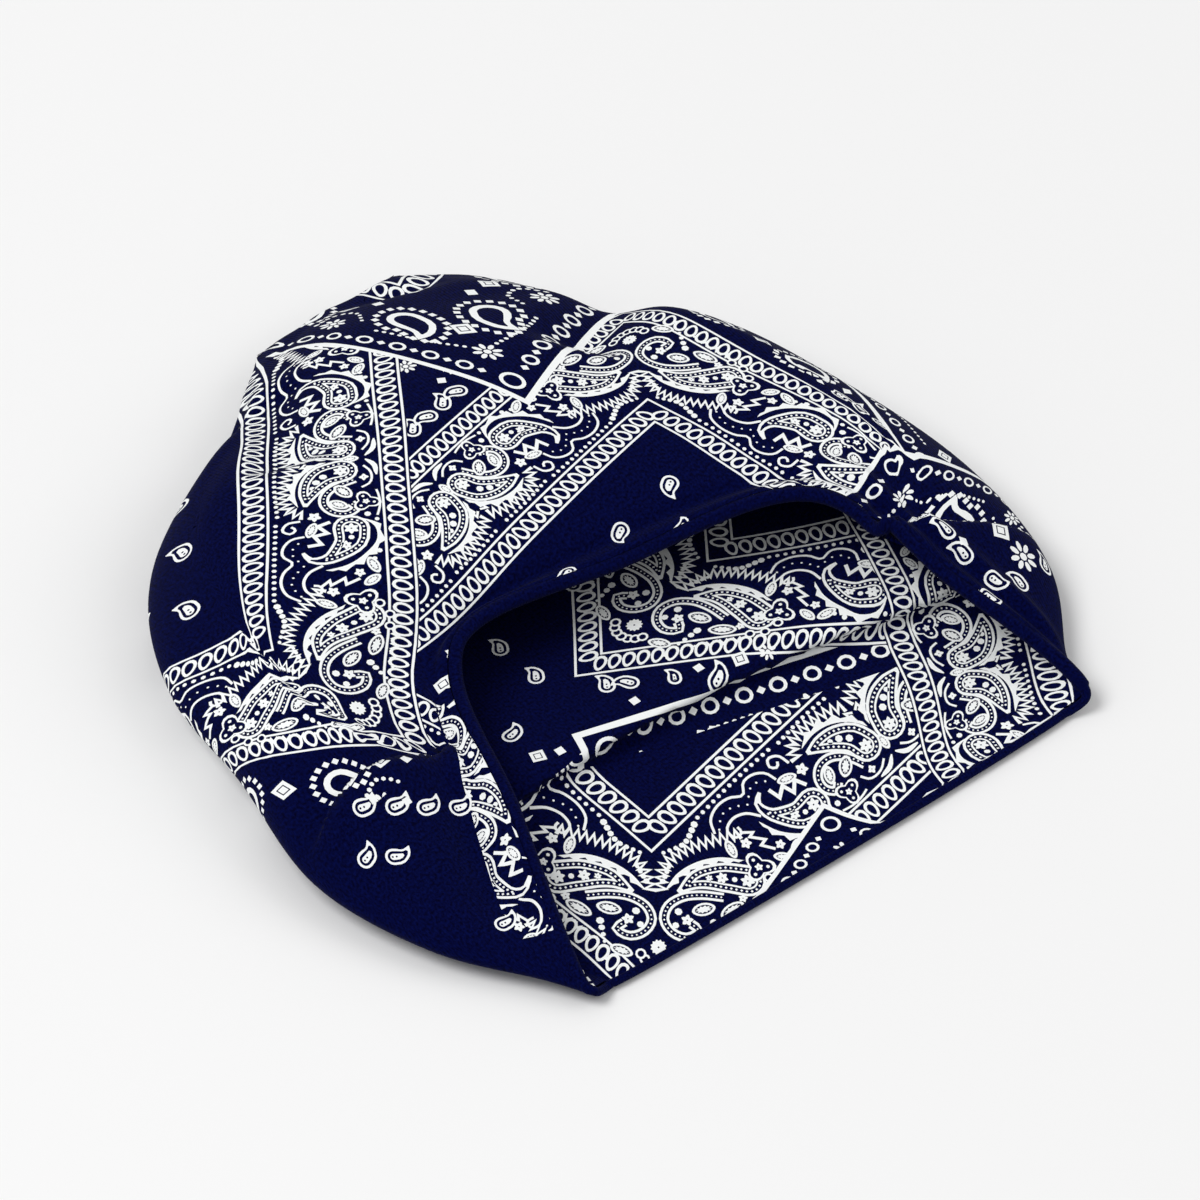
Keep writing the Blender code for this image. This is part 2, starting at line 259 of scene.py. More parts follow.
def laid_out(surface, begin):
    """The surface on evenly spaced loops that begin this far from the mouth."""
    distance = distances_along(surface)
    places = np.linspace(np.full(COLUMNS, begin), distance[-1], ROWS)
    result = np.empty((ROWS, COLUMNS, 3))
    for column in range(COLUMNS):
        for axis in range(3):
            known = surface[:, column, axis]
            result[:, column, axis] = np.interp(places[:, column], distance[:, column], known)
    return result


def normals_of(surface):
    """Smooth outward normals of a bag, row by row."""
    around = np.roll(surface, -1, axis=1) - np.roll(surface, 1, axis=1)
    normals = np.cross(np.gradient(surface, axis=0), around)
    normals[-1] = normals[-2] + normals[-2][MATE]
    return normals / np.maximum(np.linalg.norm(normals, axis=2), 1e-12)[..., None]


def moved_in(surface, distance):
    """The surface moved inwards by one distance, rounding off the inside of its tight corners."""
    normals = normals_of(surface)
    eased = normals
    for _ in range(EASING_PASSES):
        eased = eased + np.roll(eased, 1, axis=1) + np.roll(eased, -1, axis=1)
        eased = eased + np.concatenate((eased[:1], eased[:-1])) + np.concatenate(
            (eased[1:], eased[-1:])
        )
        eased = eased / np.linalg.norm(eased, axis=2)[..., None]
    facing = np.maximum((eased * normals).sum(axis=2), LEAST_FACING)[..., None]
    return surface - distance * eased / facing


def tucked_inside(inner, outer, gap):
    """The inner surface with each point at least this far inside the outer one."""
    at = np.arange(ROWS * COLUMNS).reshape(ROWS, COLUMNS)
    beside = np.roll(at, -1, axis=1)
    quads = np.stack((at[:-1], beside[:-1], beside[1:], at[1:]), axis=2).reshape(-1, 4)
    tree = BVHTree.FromPolygons(outer.reshape(-1, 3).tolist(), quads.tolist())
    outward = normals_of(outer).reshape(-1, 3)
    points = inner.reshape(-1, 3).copy()
    for number, point in enumerate(points):
        place, _, face, _ = tree.find_nearest(point)
        nearest = np.array(place)
        if (point - nearest) @ outward[face] > -gap:
            points[number] = nearest - gap * outward[face]
    return points.reshape(inner.shape)


# The print: motifs drawn as closed outlines, in millimetres of flat cloth. A motif is a
# list of outlines, and ink lies where a point is inside an odd number of them.


def disc(x, y, radius, sides=8):
    """A solid dot."""
    turn = 2 * np.pi * (np.arange(sides) + 0.5) / sides
    return [np.stack((x + radius * np.cos(turn), y + radius * np.sin(turn)), axis=1)]


def ring(x, y, radius, line, sides):
    """A round line."""
    return disc(x, y, radius, sides) + disc(x, y, radius - line, sides)


def moved(motif, x, y, turn=0.0, size=1.0, mirror=False):
    """A motif turned by an angle in degrees, resized and set down at a place."""
    angle = np.radians(turn)
    matrix = size * np.array(((np.cos(angle), np.sin(angle)), (-np.sin(angle), np.cos(angle))))
    flip = (-1, 1) if mirror else (1, 1)
    return [(outline * flip) @ matrix + (x, y) for outline in motif]


def walked(line):
    """How far each point of a line lies from its start, along the line."""
    steps = np.linalg.norm(np.diff(line, axis=0), axis=1)
    return np.concatenate(((0,), np.cumsum(steps)))


def read_line(line, walk, at):
    """The points of a line at these distances from its start."""
    return np.stack((np.interp(at, walk, line[:, 0]), np.interp(at, walk, line[:, 1])), axis=1)


def smooth(points, count):
    """Points spread evenly along a smooth line through a few given ones."""
    points = np.array(points, dtype=float)
    knots = walked(points)
    fine = spline(points, knots, np.linspace(0, knots[-1], 12 * len(points)))
    walk = walked(fine)
    return read_line(fine, walk, np.linspace(0, walk[-1], count))


def sides_of(line):
    """The unit direction across a line, to its left, at each of its points."""
    ahead = np.gradient(line, axis=0)
    ahead = ahead / np.maximum(np.hypot(*ahead.T), 1e-9)[:, None]
    return np.stack((-ahead[:, 1], ahead[:, 0]), axis=1)


def widened(line, across):
    """The outline that runs along one side of a line and back along the other."""
    return [np.concatenate((line + across, (line - across)[::-1]))]


def stroke(line, width, taper=False):
    """An inked line of one width, drawn out to points where it tapers."""
    half = np.full(len(line), width / 2)
    if taper:
        half = half * np.sin(np.pi * np.linspace(0.04, 0.96, len(line))) ** 0.6
    across = sides_of(line) * half[:, None]
    return widened(line, across)


def curve(points, count, width, taper=False):
    """An inked smooth line through a few given points."""
    return stroke(smooth(points, count), width, taper)


def zigzag(path, pitch, swing, width):
    """A line that springs from side to side along a path."""
    path = smooth(path, 60)
    teeth = max(3, int(walked(path)[-1] / pitch) * 2)
    middle = smooth(path, teeth)
    away = sides_of(middle) * swing / 2
    away[1::2] *= -1
    return stroke_corners(middle + away, width)


def stroke_corners(line, width):
    """An inked line with sharp corners."""
    line = np.array(line, dtype=float)
    ahead = np.diff(line, axis=0)
    ahead = ahead / np.hypot(*ahead.T)[:, None]
    left = np.stack((-ahead[:, 1], ahead[:, 0]), axis=1)
    first, last = left[:1], left[-1:]
    bisector = np.concatenate((first, left[:-1] + left[1:], last))
    share = (bisector * np.concatenate((first, left[1:], last))).sum(axis=1)
    across = bisector / np.maximum(share, 0.45)[:, None] * width / 2
    return widened(line, across)


def swept(spine, radius, inset, count=14):
    """The outline round a tapering body, moved in by inset: round head first, tip last."""
    spine = smooth(spine, count)
    share = np.linspace(0, 1, count)
    radii = np.interp(share, np.linspace(0, 1, len(radius)), radius) - inset
    kept = max(2, int((radii > 0.05).sum()))
    spine, radii = spine[:kept], np.maximum(radii[:kept], 0.05)
    left = sides_of(spine)
    ahead = np.array((left[0, 1], -left[0, 0]))
    turn = np.linspace(np.pi / 2, 3 * np.pi / 2, 9)[1:-1]
    head = spine[0] + radii[0] * (np.cos(turn)[:, None] * ahead + np.sin(turn)[:, None] * left[0])
    return np.concatenate(((spine + left * radii[:, None])[::-1], head, spine - left * radii[:, None]))


def ladder(outline, pitch, size, closed=True):
    """Small dots set evenly along an outline."""
    if closed:
        outline = np.concatenate((outline, outline[:1]))
    walk = walked(outline)
    places = read_line(outline, walk, np.arange(pitch / 2, walk[-1], pitch))
    return [dot for x, y in places for dot in disc(x, y, size, 4)]


def flower(x, y, radius, petals=6):
    """A solid flower with a pinhole in its middle."""
    count = 4 * petals
    angle = 2 * np.pi * np.arange(count) / count
    wave = radius * (0.80 + 0.20 * np.cos(petals * angle))
    outline = np.stack((x + wave * np.cos(angle), y + wave * np.sin(angle)), axis=1)
    return [outline] + disc(x, y, 0.14 * radius, 4)


def dots_along(path, start, end, count, sides):
    """Dots along a path, growing or shrinking from one size to another."""
    places = smooth(path, count)
    sizes = np.linspace(start, end, count)
    return [dot for (x, y), size in zip(places, sizes) for dot in disc(x, y, size, sides)]


def blobs(path, start, end):
    """A chain of solid blobs that nearly touch."""
    path = smooth(path, 40)
    count = max(2, int(walked(path)[-1] / (1.55 * (start + end) / 2)) + 1)
    return dots_along(path, 0.72 * start, 0.72 * end, count, 7)


def leaf(x, y, turn, length, width, line=0.7):
    """A pointed leaf in outline with a bristly seed inside."""
    share = np.linspace(0, np.pi, 9)
    upper = np.stack((length * (np.cos(share) / 2), width / 2 * np.sin(share) ** 1.2), axis=1)
    outline = np.concatenate((upper, (upper * (1, -1))[::-1][1:-1]))
    inner = outline * (1 - 2.6 * line / length, 1 - 2 * line / width)
    angle = 2 * np.pi * np.arange(20) / 20
    bristle = (1 + 0.22 * (-1) ** np.arange(20))[:, None]
    seed = np.stack((0.30 * length * np.cos(angle), 0.24 * width * np.sin(angle)), axis=1)
    return moved([outline, inner, seed * bristle], x, y, turn)


def thorns(path, thick, teeth):
    """A solid crescent whose outer edge is cut into thorns."""
    base = smooth(path, 3 * teeth + 1)
    away = sides_of(base)
    share = np.linspace(0, 1, len(base))
    body = thick * (0.35 + 0.65 * np.sin(np.pi * share) ** 0.7)
    saw = np.tile((1.25, 0.55, 0.75), teeth + 1)[: len(base)]
    height = body * saw
    height[0] = height[-1] = 0.1
    return [np.concatenate((base, (base + away * height[:, None])[::-1]))]


def paisley_outline(length, inset):
    """The outline of a drop that curls at its tip, lying along X with its head at the origin."""
    spine = np.array(((0, 0), (0.32, 0.0), (0.60, 0.14), (0.80, 0.46))) * length
    radius = np.array((0.40, 0.38, 0.22, 0.02)) * length
    return swept(spine, radius, inset, 9)


def drop(length, line=0.8):
    """A small drop with a ring inside it and two seeds in the ring."""
    outlines = [paisley_outline(length, inset) for inset in (0, line, 2.1 * line)]
    for place in (-0.04, 0.15):
        outlines += disc(place * length, 0, 0.055 * length, 5)
    return outlines


def diamond(x, y, size):
    """A small solid diamond."""
    return [np.array(((x - size, y), (x, y - size), (x + size, y), (x, y + size)))]


def framed_diamond(x, y, size):
    """A diamond with a line left out of it."""
    return diamond(x, y, size) + diamond(x, y, 0.56 * size) + diamond(x, y, 0.42 * size)


def daisy(x, y, radius):
    """Eight petals round a dot."""
    outlines = disc(x, y, 0.26 * radius, 8)
    petal = [outline * (1, 0.52) for outline in disc(0.66 * radius, 0, 0.34 * radius, 8)]
    for k in range(8):
        outlines += moved(petal, x, y, 45 * k)
    return outlines


def beads(path, start, end, pitch):
    """A string of beads along a path, set apart by a pitch."""
    path = smooth(path, 60)
    return dots_along(path, start, end, max(2, int(walked(path)[-1] / pitch) + 1), 6)


# One printed bandana square, from its middle outwards: a plain field, a border of rings, a band of
# paisleys, a second border, and an outer zone with beads and daisies that ends in a thick line.
FIELD = 70.0
BORDER = 8.5
BAND = 32.0
OUTER = 42.0
BAND_FOOT = FIELD + BORDER
BAND_HEAD = BAND_FOOT + BAND
ZONE_FOOT = BAND_HEAD + BORDER
EDGE = ZONE_FOOT + OUTER
THICK_LINE, THIN_LINE = 1.7, 0.75
RING_PITCH = 4.25
# The drops in the field: how far out they lie, and the steps between rows and within a row.
DROPS_REACH, DROPS_ROW, DROPS_STEP = 52, 17.3, 26


def paisley(spine, radius, seeds, line=0.9):
    """A big paisley: a double outline with dots between, and flowers and dots inside."""
    motif = [swept(spine, radius, 0), swept(spine, radius, line)]
    motif += ladder(swept(spine, radius, 1.85 * line), 1.6, 0.46)
    return motif + [swept(spine, radius, 2.7 * line), swept(spine, radius, 3.4 * line)] + seeds


def rope(path, count=26, gap=2.3, line=0.85):
    """Two lines side by side with dots between them."""
    path = smooth(path, count)
    away = sides_of(path) * gap / 2
    dots = ladder(path, 1.5, 0.36, closed=False)
    return [stroke(path + away, line), stroke(path - away, line)] + [[dot] for dot in dots]


def star_flower(x, y, turn, size):
    """Three pointed petals in outline with seeds inside."""
    angle = 2 * np.pi * np.arange(24) / 24
    wave = 0.52 + 0.48 * abs(np.cos(1.5 * angle)) ** 1.6
    outline = np.stack((wave * np.cos(angle), wave * np.sin(angle)), axis=1) * size
    motif = [outline, outline * 0.80] + flower(0, 0, 0.26 * size, 5)
    for k in range(3):
        motif += moved(disc(0.52 * size, 0, 0.11 * size, 6), 0, 0, 120 * k)
    return moved(motif, x, y, turn)


def slanted_ring(x, y, lean):
    """One drop-shaped ring of a border."""
    angle = 2 * np.pi * np.arange(14) / 14
    round_part = np.stack((1.95 * np.cos(angle), 3.1 * np.sin(angle)), axis=1)
    round_part[:, 0] *= 1 - 0.22 * np.sin(angle)
    hollow = round_part * (0.56, 0.66)
    return moved([round_part, hollow], x, y, lean)


def crescent(x, y, turn):
    """A thick-lined paisley with a ring of beads round it."""
    length, line = 12.5, 1.9
    motif = [paisley_outline(length, 0), paisley_outline(length, line)]
    motif += ladder(paisley_outline(length, -3.0), 3.0, 1.2)
    return moved(motif, x, y, turn)


def from_corner(points):
    """Places given across (p) and out along (q) the square's diagonal, from the band's inner corner."""
    points = np.array(points, dtype=float)
    p, q = points[..., 0], points[..., 1]
    return np.stack((BAND_FOOT + (q - p) / 2**0.5, BAND_FOOT + (q + p) / 2**0.5), axis=-1)


def band_motifs():
    """The band's motifs from the middle of one side towards its right corner, the lowest first.

    Places are along the side from its middle and out from the band's inner edge."""
    tooth = (2.2, 3.2, 1.25)
    return [
        # The curled pair near the middle of the side.
        zigzag([(0.9, 7.6), (5, 5.4), (10.4, 4.4), (17, 4.0), (22, 5.2), (24.6, 9.5)], *tooth),
        thorns([(20.5, 8.2), (14.5, 7.4), (8.5, 8.6), (3.0, 12.6), (0.6, 16.5)], 2.4, 5),
        paisley(
            [(5.2, 20.5), (6.6, 16.2), (10.5, 13.0), (15, 11.2), (20.6, 10.2)],
            (5.2, 5.0, 4.2, 2.8, 0.6),
            flower(5.2, 20.5, 2.3)
            + disc(7.4, 15.5, 1.2, 7) + disc(9.9, 13.5, 1.2, 7) + disc(12.6, 12.4, 0.9, 7),
        ),
        *rope([(9.5, 24.5), (11.2, 20.8), (13.5, 17.6), (17, 15.6), (21, 15.8), (24, 18.4), (24.4, 22),
               (22.0, 24.4), (19.9, 23.0)]),
        leaf(14.6, 21.0, 40, 7.0, 4.4),
        leaf(20.4, 19.6, 62, 6.0, 3.6),
        curve([(3.6, 27.3), (6.4, 29.2), (11.6, 28.8), (13.2, 26.4)], 10, 0.75),
        flower(8.8, 27.2, 1.5, 4),
        leaf(0, 23.4, 90, 5.6, 3.0),
        curve([(0.8, 28.0), (3.6, 30.4), (8.2, 31.0)], 7, 1.6, True),
        stroke_corners([(0.6, 10.6), (2.6, 9.4), (2.4, 12.0), (4.6, 10.8)], 0.8),
        # The flower between the pair and the next paisley.
        star_flower(19.4, 27.4, 80, 4.6),
        curve([(14.6, 30.6), (17.2, 31.2), (21.6, 31.3), (25.4, 30.4)], 7, 0.7),
        # The hooked paisley with its thorns, bolt and tendril.
        thorns([(26.6, 25.8), (29.5, 29.2), (35, 29.9), (40.5, 26.6), (45, 21.5), (47.4, 15.2)],
               2.2, 6),
        paisley(
            [(30.6, 22.8), (35.4, 22.6), (40.2, 19.2), (43.4, 15.0), (43.4, 11.0), (40.4, 9.0)],
            (5.3, 5.0, 3.6, 2.2, 1.3, 0.5),
            flower(30.8, 22.8, 2.3) + disc(34.4, 22.7, 0.9, 7) + flower(37.5, 21.1, 1.8),
        ),
        zigzag([(27.6, 15.4), (32.5, 14.4), (38.4, 11.8)], 3.2, 3.2, 1.2),
        curve([(45.6, 14.4), (48.6, 10.6), (53.0, 9.2), (56.8, 10.8), (56.6, 13.8), (53.8, 13.9),
               (53.6, 11.9)], 20, 0.85),
        curve([(33.6, 9.6), (34.4, 6.2), (37.6, 3.8), (41.6, 3.6), (44.6, 6.2), (48.4, 4.0),
               (53.5, 3.4), (58, 5.2), (60.2, 8.8)], 26, 0.8),
        beads([(36.4, 7.8), (39, 6.2), (42.4, 6.6), (45.6, 9.2), (49.6, 6.8), (54, 6.2), (58.2, 8.8)],
              0.36, 0.36, 2.5),
        curve([(26.8, 8.6), (27.6, 4.8), (30.6, 3.6), (32.0, 5.8), (30.2, 7.2), (29.0, 6.0)], 14, 0.85),
        stroke_corners([(50.2, 24.6), (52.6, 20.8), (50.2, 20.4), (53.2, 16.6), (51.4, 16.2),
                        (54.4, 13.6)], 0.9),
        leaf(45.0, 28.6, 25, 6.4, 3.4),
        leaf(50.6, 28.0, -50, 6.0, 3.2),
    ]


def corner_motifs():
    """The motifs between the band and the square's diagonal, the lowest first."""
    at = from_corner
    return [
        # The long paisley that meets its mirror image at the corner.
        zigzag(at([(26.6, -7.0), (18.5, -4.6), (10.5, -1.6), (3.6, 3.6), (1.3, 12.8)]), 2.2, 3.2, 1.25),
        thorns(at([(2.6, 12.6), (7.0, 6.6), (12.8, 2.8), (20, 0.9), (27.5, 1.6)]), -2.4, 6),
        paisley(
            at([(28.4, 8.6), (20.5, 7.6), (13.4, 8.4), (6.6, 13.0)]),
            (5.4, 5.0, 3.4, 0.6),
            flower(*at((28.2, 8.6)), 2.3)
            + disc(*at((24.2, 8.2)), 0.9, 7)
            + flower(*at((20.4, 7.8)), 2.0)
            + flower(*at((16.4, 8.0)), 1.2),
        ),
        *rope(at([(20.5, 14.4), (13.5, 13.8), (7.6, 14.8), (3.2, 18.0), (1.9, 22.6), (4.6, 26.8),
                  (9.6, 28.0), (12.6, 25.6), (10.2, 23.6)])),
        leaf(*at((23.0, 18.6)), 170, 8.6, 4.2),
        leaf(*at((14.2, 18.6)), 150, 7.6, 4.4),
        blobs(at([(6.4, 19.6), (5.4, 24.2)]), 1.7, 1.5),
        blobs(at([(17.2, 23.0), (16.4, 30.2)]), 1.7, 0.8),
        zigzag(at([(30.6, 18.0), (25.6, 23.4), (21.0, 28.6)]), 1.7, 1.5, 0.8),
        *(ring(*at(place), 1.6, 0.65, 10) for place in ((34.6, 7.4), (33.8, 12.2), (30.8, 15.4))),
    ]


def band_fillers():
    """Leaves, flowers and beads that fill the gaps between the band's big motifs."""
    return [
        beads([(3, 1.9), (12, 1.6), (24, 2.2)], 0.7, 0.7, 2.3),
        beads([(28, 1.7), (42, 1.4), (60, 1.8)], 0.7, 0.7, 2.3),
        blobs([(62.4, 2.6), (69, 4.6), (76, 2.4)], 1.5, 0.9),
        flower(25.4, 12.6, 2.1, 5),
        flower(48.0, 24.6, 1.7, 5),
        star_flower(58.6, 25.2, 20, 5.4),
        flower(55.6, 17.2, 1.9, 5),
        leaf(31.0, 11.6, -20, 6.6, 3.2),
        leaf(60.4, 15.4, 70, 6.4, 3.2),
        blobs([(24.8, 27.6), (27.0, 30.2)], 1.4, 1.0),
        blobs([(39.6, 30.4), (42.6, 29.0)], 1.2, 1.0),
    ]


def corner_fillers():
    """What fills the gaps near the corner, with the shell flower on the diagonal."""
    at = from_corner
    motifs = [
        leaf(*at((11.4, 33.0)), 155, 7.4, 3.8),
        flower(*at((16.8, 35.0)), 2.0, 5),
        flower(*at((9.0, 22.4)), 2.0, 5),
        flower(*at((26.4, 14.6)), 1.5, 5),
        blobs(at([(2.4, 9.4), (4.6, 4.6)]), 1.3, 0.9),
        flower(*at((0, 31.6)), 2.6, 6),
    ]
    for angle in np.radians((0, 22, 44, 66)):
        place = at((6.0 * np.sin(angle), 31.6 + 5.6 * np.cos(angle)))
        motifs.append(ring(*place, 1.75, 0.7, 10))
    return motifs


def half_side():
    """The motifs between the middle of one side and its right corner, the lowest first."""
    band, fillers = (
        [moved(motif, 0, BAND_FOOT) for motif in motifs] for motifs in (band_motifs(), band_fillers())
    )
    return band + corner_motifs() + fillers + corner_fillers()


def outer_zone():
    """The motifs of the outer zone on one half side, from its middle to its right corner."""
    motifs = []
    chain = EDGE - 6.0
    for x in np.arange(0, chain - 9, 8.4):
        motifs += [ring(x, chain, 2.2, 0.85, 12), diamond(x + 4.2, chain, 1.15)]
    motifs.append(ring(chain - 0.6, chain - 0.6, 3.3, 1.0, 14))
    from_daisy = [
        daisy(0, 0, 3.9),
        beads([(-5.4, 0.6), (-14, 3.0), (-27, 3.4)], 0.62, 0.62, 1.9),
        framed_diamond(-8.6, -8.6, 3.6),
        crescent(-22.5, -6.5, 28),
        daisy(-40.5, 1.0, 3.7),
        beads([(-45.5, -1.0), (-43, -6.4), (-36.8, -6.6), (-32.8, -1.6)], 0.8, 0.6, 2.0),
        framed_diamond(-41.5, -13.8, 3.2),
        diamond(-33.5, -14.8, 1.9),
        framed_diamond(-72.5, -13.0, 3.8),
        crescent(-56.5, -14.0, 28),
        daisy(-105.5, 1.5, 3.7),
        crescent(-87.5, -14.0, 150),
        beads([(-95, 1.6), (-87.5, 3.2), (-75.5, 3.6)], 0.62, 0.62, 1.9),
        beads([(-105.5, 1.6), (-115.5, 3.2), (-130.5, 3.6)], 0.62, 0.62, 1.9),
        framed_diamond(-136, -2.0, 3.4),
        diamond(-105.5, -12.5, 1.9),
    ]
    corner = EDGE - 15.5
    motifs += [moved(motif, corner, corner) for motif in from_daisy]
    low = ZONE_FOOT + 6.5
    for x in (14, 30):
        motifs += [moved(drop(7.0), x, low, 35), moved(drop(7.0), x + 9, low, 145)]
        motifs.append(diamond(x + 17, low + 1, 1.5))
    return motifs


def frame_line(inner, width):
    """A square line, as its outer and its inner edge."""
    corners = np.array(((-1, -1), (1, -1), (1, 1), (-1, 1)), dtype=float)
    return [corners * (inner + width), corners * inner]


def bandana():
    """All motifs of the square, the lowest first, after the bare ground."""
    motifs = [[]]
    motifs.append(frame_line(EDGE - THICK_LINE, THICK_LINE))
    for edge in (ZONE_FOOT - THIN_LINE, BAND_HEAD, BAND_FOOT - THIN_LINE, FIELD):
        motifs.append(frame_line(edge, THIN_LINE))
    quarter = half_side() + outer_zone()
    for foot, lean in ((FIELD, 18), (BAND_HEAD, -18)):
        middle = foot + BORDER / 2
        count = int(round(middle / RING_PITCH))
        for k in range(count):
            quarter.append(slanted_ring((k + 0.5) * middle / (count + 0.3), middle, lean))
    for k in range(4):
        for mirror in (False, True):
            motifs += [moved(motif, 0, 0, 90 * k, 1.0, mirror) for motif in quarter]
    for row, y in enumerate(np.arange(-DROPS_REACH, DROPS_REACH + 1, DROPS_ROW)):
        start, turn = (12, 20) if row % 2 else (0, -160)
        for x in np.arange(start - DROPS_REACH, DROPS_REACH + 4, DROPS_STEP):
            motifs.append(moved(drop(7.2), x, y, turn))
    return motifs


# Where the printed squares lie on the two sheets of cloth, the lowest first. A sheet's own
# coordinates are millimetres of flat cloth. Each row places the square's middle, gives the
# directions of its two axes with the stretch of the cloth in them, and the part that is left of
# the square after cutting: 161 is the square's edge, and 119.4 lies just outside its ring border.
SHELL_SQUARES = (
    # middle x  y       right x  y       up x     y       from x  y      to x   y
    (1.1, 67.2, 0.866, 0.166, -0.269, 0.912, -85, -161, 161, 161),
    (-132.1, 248.3, -0.51, -0.727, 0.882, -0.589, -161, -161, 146, 119.4),
    (254.2, 44.0, -0.966, 0.259, -0.259, -0.966, -161, -161, 161, 161),
    (51.4, -95.4, 1.062, 0.691, -0.78, 0.527, 133, -161, 161, 161),
    (63.8, 441.6, -0.85, -0.389, 0.547, -1.296, -161, -161, 161, 161),
    (1.4, 31.5, -0.90, 0.437, -0.437, -0.90, 80, -30, 99, 60),
)
LINING_SQUARES = (
    (32.9, 144.3, -1.07, -0.25, 0.045, -1.206, -161, 40, 161, 161),
    (120.7, -181.2, 0.328, 1.317, -1.331, 0.339, 149, -161, 161, 161),
    (161.7, 146.6, -0.911, 0.547, -0.657, -0.895, -119.4, -119.4, 119.4, 119.4),
    (167.0, -8.6, 0.927, -0.375, 0.375, 0.927, -119.4, -161, 161, 161),
    (-74.3, -199.3, 0.407, -0.914, 0.914, 0.407, -161, -161, 161, 161),
)
# Bare cloth that lies over the squares beside the left and the right tuck.
SHELL_BARE = (
    ((-72.5, 104), (-81.8, 91.5), (-96.6, 83.9), (-109.9, 82.2), (-123.3, 80.5), (-137.7, 79.0),
     (-149.9, 80.9), (-175, 84), (-230, 60), (-230, -40), (-116, -40), (-116, 10), (-107, 36),
     (-98.9, 54.5), (-89.9, 76.2)),
    ((77.2, 77.3), (83.9, 67.9), (93.8, 62.3), (115.1, 55.3), (135, 50), (160, 45),
     (160, -40), (60, -40), (60, 77)),
)
# Motifs of other squares that show on their own, in the same coordinates: the motif, its size, and
# the x, y and turn of each copy.
SHELL_STRAYS = (
    (drop, 6.6, (94.7, 57.1, 100), (95.5, 48.5, 100), (110.7, 34.7, 100), (125.0, 40.6, 60),
     (100.0, 38.6, -60), (93.7, 34.1, -60)),
    (diamond, 1.9, (97.5, 52.5, 20)),
    (framed_diamond, 3.8, (112.6, 52.5, 20)),
    (daisy, 5.0, (116.6, 43.6, 0)),
    (drop, 6.8, (-121.5, 82.4, -10), (-112.4, 77.6, -10), (-104.6, 72.4, -10), (-95.2, 68.0, -10),
     (-131.2, 70.2, 10), (-123.2, 65.4, -30), (-112.2, 27.5, -10)),
    (diamond, 1.6, (-116.6, 82.6, 45), (-108.0, 77.0, 45)),
    (framed_diamond, 3.0, (-68.0, 106.0, 30)),
    (flower, 2.2, (-60.0, 112.0, 0)),
)
LINING_STRAYS = (
    (drop, 6.8, (-20.0, 95.0, 60), (-13.5, 91.5, 120)),
    (drop, 5.6, (-2.5, 84.0, 60)),
    (drop, 6.8, (-34.0, 112.9, 60), (-34.4, 131.0, 60), (1.0, 139.0, 60), (-55.4, 96.1, 20)),
    (diamond, 1.9, (6.0, 83.0, 45), (-17.5, 84.7, 45), (-47.5, 82.0, 45)),
    (framed_diamond, 3.2, (18.3, 78.0, 30)),
    (framed_diamond, 3.0, (-54.0, 84.0, 30)),
    (daisy, 3.0, (27.0, 75.0, 0)),
)
# The longest straight step of an outline, and how far off the sheet an outline's points may all
# lie before it is left out, in millimetres.
LONGEST_STEP = 4.0
STRAY = 3.0
# Less than any step of the grid, so that no two points of it count as one.
TINY = 1e-5


def flat_places(surface, middle, facing):
    """Where each point of the surface lies on the flat cloth, in millimetres, opened at a seam."""
    order = (int((middle + 0.5) * COLUMNS) + np.arange(COLUMNS + 1)) % COLUMNS
    opened = surface[:, order]
    across = np.hypot(*np.moveaxis(np.diff(opened[..., (0, 2)], axis=1), 2, 0))
    walk = np.concatenate((np.zeros((ROWS, 1)), np.cumsum(across, axis=1)), axis=1)
    half = COLUMNS // 2
    u = opened[:, half, 0][:, None] + facing * (walk - walk[:, half][:, None])
    along = np.hypot(*np.moveaxis(np.diff(opened[..., (1, 2)], axis=0), 2, 0))
    v = opened[0, :, 1] + np.concatenate((np.zeros((1, COLUMNS + 1)), np.cumsum(along, axis=0)))
    return order, 1000 * np.stack((u, v), axis=2)


def eased(flat, opened):
    """The flat places, evened out over the folds, so that no fold squeezes or tears the print.

    Each place moves to the mean of its four neighbours, weighed by how near they lie on the cloth."""
    wide = np.linalg.norm(np.diff(opened, axis=1), axis=2) + TINY
    long = np.linalg.norm(np.diff(opened, axis=0), axis=2) + TINY
    run = long[:-1] + long[1:]
    across = ((run[:, :-1] + run[:, 1:]) / (4 * wide[1:-1]))[..., None]
    span = wide[:, :-1] + wide[:, 1:]
    along = ((span[:-1] + span[1:]) / (4 * long[:, 1:-1]))[..., None]
    total = across[:, :-1] + across[:, 1:] + along[:-1] + along[1:]
    flat = flat.copy()
    for _ in range(MAP_PASSES):
        beside = across[:, :-1] * flat[1:-1, :-2] + across[:, 1:] * flat[1:-1, 2:]
        beyond = along[:-1] * flat[:-2, 1:-1] + along[1:] * flat[2:, 1:-1]
        flat[1:-1, 1:-1] = (beside + beyond) / total
    return flat


def stepped(outline):
    """The outline with its long edges cut into short steps."""
    following = np.roll(outline, -1, axis=0)
    counts = np.maximum(np.ceil(np.hypot(*(following - outline).T) / LONGEST_STEP).astype(int), 1)
    runs = [
        start + (end - start) * np.arange(count)[:, None] / count
        for start, end, count in zip(outline, following, counts)
    ]
    return np.concatenate(runs)


def inside(points, shape):
    """Which points lie inside an outline."""
    found = np.zeros(len(points), dtype=bool)
    ends = np.roll(shape, -1, axis=0)
    x, y = points[:, 0], points[:, 1]
    for (x0, y0), (x1, y1) in zip(shape, ends):
        if y0 != y1:
            crossed = (y0 > y) != (y1 > y)
            found ^= crossed & (x < (x1 - x0) * (y - y0) / (y1 - y0) + x0)
    return found


